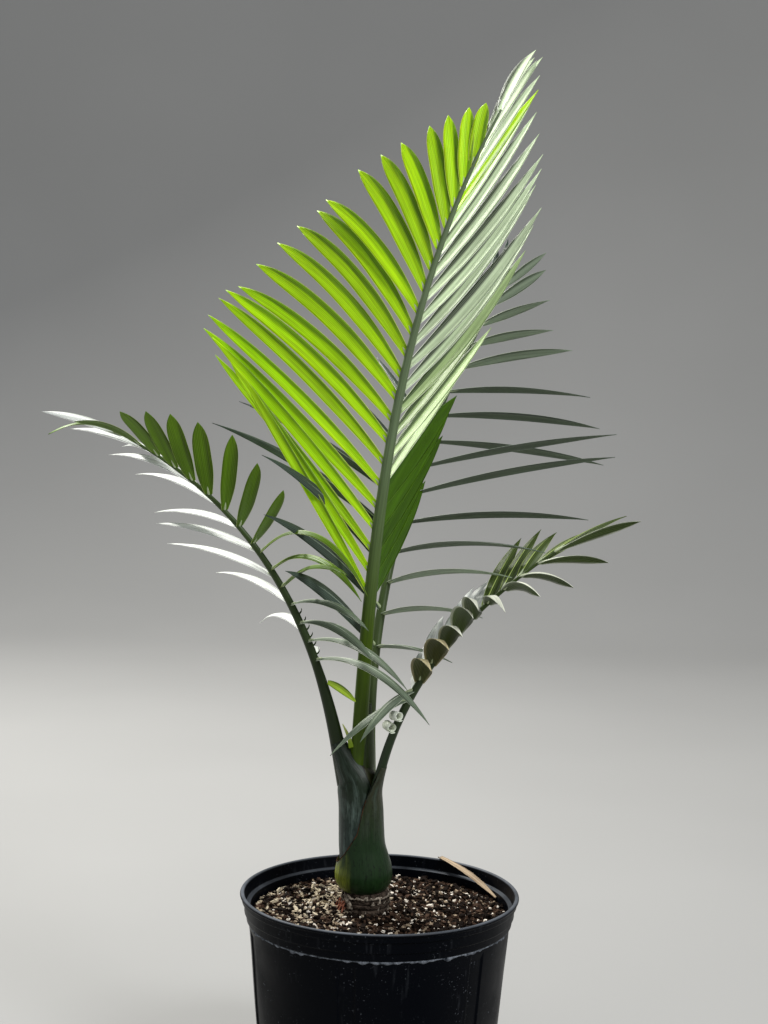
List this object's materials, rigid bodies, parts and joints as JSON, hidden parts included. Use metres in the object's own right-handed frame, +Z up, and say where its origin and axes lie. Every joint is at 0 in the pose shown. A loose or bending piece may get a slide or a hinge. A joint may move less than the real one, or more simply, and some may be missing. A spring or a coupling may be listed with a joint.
{
  "type": "potted palm",
  "caption": "Young sierra palm with feathered fronds on a sheathed green stem, standing in a round black nursery pot filled with bark mix.",
  "frame": {"origin": "middle of the pot's flat underside", "axes": "+Z up, +X to the right of the front view, +Y away from it"},
  "size_m": [0.5878, 0.5284, 1.0907],
  "materials": {
    "pot_plastic": "black blow-moulded polyethylene with a low gloss",
    "bark_mix": "moist bark, peat and pale chips",
    "stem_fibre": "dry papery leaf-base fibre",
    "palm_sheath": "waxy dark green leaf base",
    "palm_stalk": "smooth green leaf stalk",
    "palm_leaf": "satin green leaf blade",
    "dry_leaf": "dry straw-coloured leaf"
  },
  "bodies": {
    "root": {"pot": "pot_plastic", "potting_mix": "bark_mix", "stem_foot": "stem_fibre", "outer_sheath": "palm_sheath", "left_sheath": "palm_sheath", "spear_base": "palm_sheath", "stalk_a": "palm_stalk", "stalk_b": "palm_stalk", "stalk_c": "palm_stalk", "stalk_d": "palm_stalk", "frond_a_lower": "palm_leaf", "frond_a_upper": "palm_leaf", "frond_b_lower": "palm_leaf", "frond_b_upper": "palm_leaf", "frond_c_lower": "palm_leaf", "frond_c_upper": "palm_leaf", "frond_d_lower": "palm_leaf", "frond_d_upper": "palm_leaf", "dry_leaf_strip": "dry_leaf"}
  },
  "joints": []
}
